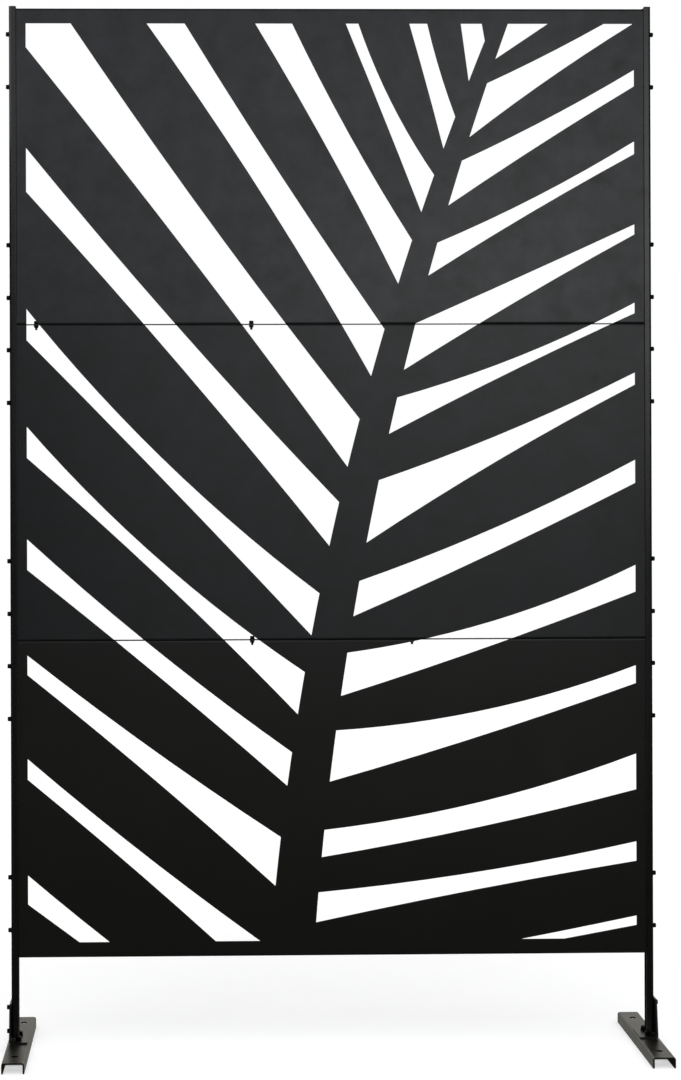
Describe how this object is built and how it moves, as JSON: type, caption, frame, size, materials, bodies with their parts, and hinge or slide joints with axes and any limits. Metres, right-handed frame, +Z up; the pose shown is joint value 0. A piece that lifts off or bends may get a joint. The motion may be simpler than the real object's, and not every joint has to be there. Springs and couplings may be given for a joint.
{
  "type": "garden privacy screen",
  "caption": "Free-standing garden privacy screen: stacked sheet-steel panels cut with palm-leaf slots, bolted between slim channel posts on front-to-back channel feet.",
  "frame": {"origin": "on the floor below the middle of the screen", "axes": "+X along the screen to the viewer's right, +Y from its front to its back, +Z up"},
  "size_m": [1.238, 0.3, 1.977],
  "materials": {
    "panel_coating": "satin black powder coat on sheet steel",
    "frame_coating": "satin black powder coat on folded steel",
    "bolt_black": "blackened steel",
    "washer_black": "blackened steel",
    "nut_black": "blackened steel"
  },
  "bodies": {
    "root": {"bottom_panel": "panel_coating", "middle_panel": "panel_coating", "top_panel": "panel_coating", "left_post": "frame_coating", "left_foot": "frame_coating", "left_foot_bracket": "frame_coating", "right_post": "frame_coating", "right_foot": "frame_coating", "right_foot_bracket": "frame_coating", "left_bottom_bolts": "bolt_black", "left_bottom_washers": "washer_black", "left_bottom_nuts": "nut_black", "left_middle_bolts": "bolt_black", "left_middle_washers": "washer_black", "left_middle_nuts": "nut_black", "left_top_bolts": "bolt_black", "left_top_washers": "washer_black", "left_top_nuts": "nut_black", "left_bracket_bolts": "bolt_black", "left_bracket_washers": "washer_black", "left_bracket_nuts": "nut_black", "left_foot_bolts": "bolt_black", "left_foot_washers": "washer_black", "left_foot_nuts": "nut_black", "right_bottom_bolts": "bolt_black", "right_bottom_washers": "washer_black", "right_bottom_nuts": "nut_black", "right_middle_bolts": "bolt_black", "right_middle_washers": "washer_black", "right_middle_nuts": "nut_black", "right_top_bolts": "bolt_black", "right_top_washers": "washer_black", "right_top_nuts": "nut_black", "right_bracket_bolts": "bolt_black", "right_bracket_washers": "washer_black", "right_bracket_nuts": "nut_black", "right_foot_bolts": "bolt_black", "right_foot_washers": "washer_black", "right_foot_nuts": "nut_black", "lower_seam_bolts": "bolt_black", "lower_seam_washers": "washer_black", "lower_seam_nuts": "nut_black", "upper_seam_bolts": "bolt_black", "upper_seam_washers": "washer_black", "upper_seam_nuts": "nut_black"}
  },
  "joints": []
}
